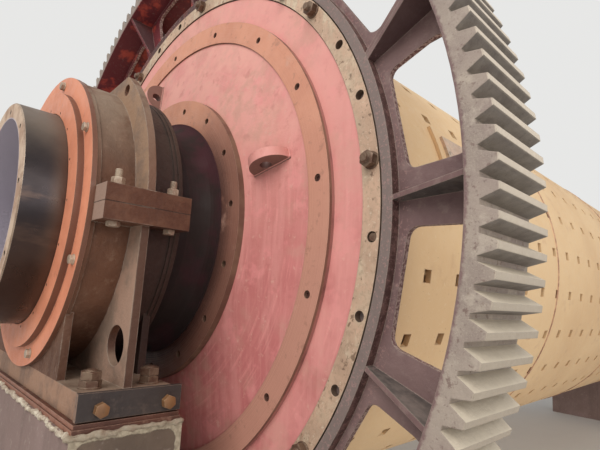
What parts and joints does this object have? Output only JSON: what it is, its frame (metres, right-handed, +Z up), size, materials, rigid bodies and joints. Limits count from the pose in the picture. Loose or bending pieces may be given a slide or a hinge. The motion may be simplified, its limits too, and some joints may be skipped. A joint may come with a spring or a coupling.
{
  "type": "trunnion ball mill",
  "caption": "Horizontal grinding drum with hollow trunnions, turning in split bearings on concrete piers, with a toothed ring gear round one end.",
  "frame": {"origin": "on the floor, midway between the two bearings and under the mill axis", "axes": "+X along the mill axis from the gear end to the feed end, +Z up"},
  "size_m": [8.596, 3.16, 3.43],
  "materials": {
    "concrete": "rough",
    "plate": "matt",
    "dark_plate": "matt",
    "casting": "rough",
    "bronze": "satin",
    "seal_paint": "matt",
    "shell_primer": "matt",
    "machined": "satin",
    "cover_paint": "matt",
    "band_primer": "matt",
    "neck_primer": "matt",
    "journal_steel": "oiled",
    "gear_paint": "matt"
  },
  "bodies": {
    "base": {"pier_gear_end": "concrete", "pier_feed_end": "concrete", "sole_plate_gear_end": "plate", "sole_plate_feed_end": "plate", "packing_plate_gear_end": "plate", "packing_plate_feed_end": "plate", "stop_plates_gear_end": "dark_plate", "stop_plates_feed_end": "dark_plate", "lower_housing_gear_end": "casting", "lower_housing_feed_end": "casting", "bearing_cap_gear_end": "casting", "bearing_cap_feed_end": "casting", "liner_gear_end": "bronze", "liner_feed_end": "bronze", "outer_seal_gear_end": "seal_paint", "outer_seal_feed_end": "seal_paint", "inner_seal_gear_end": "casting", "inner_seal_feed_end": "casting"},
    "drum": {"shell": "shell_primer", "shell_flange_gear_end": "shell_primer", "shell_flange_feed_end": "shell_primer", "manhole_frame": "shell_primer", "manhole_door": "machined", "cover_gear_end": "cover_paint", "cover_feed_end": "cover_paint", "band_gear_end": "band_primer", "band_feed_end": "band_primer", "neck_ring_gear_end": "neck_primer", "neck_ring_feed_end": "neck_primer", "trunnion_gear_end": "journal_steel", "trunnion_feed_end": "journal_steel", "clamp_ring_gear_end": "machined", "clamp_ring_feed_end": "machined", "ring_gear_upper_half": "gear_paint", "ring_gear_lower_half": "gear_paint"}
  },
  "joints": [
    {"name": "drum_turn", "type": "hinge", "parent": "base", "child": "drum", "pos_m": [0, 0, 1.85], "axis": [1, 0, 0], "continuous": true}
  ]
}
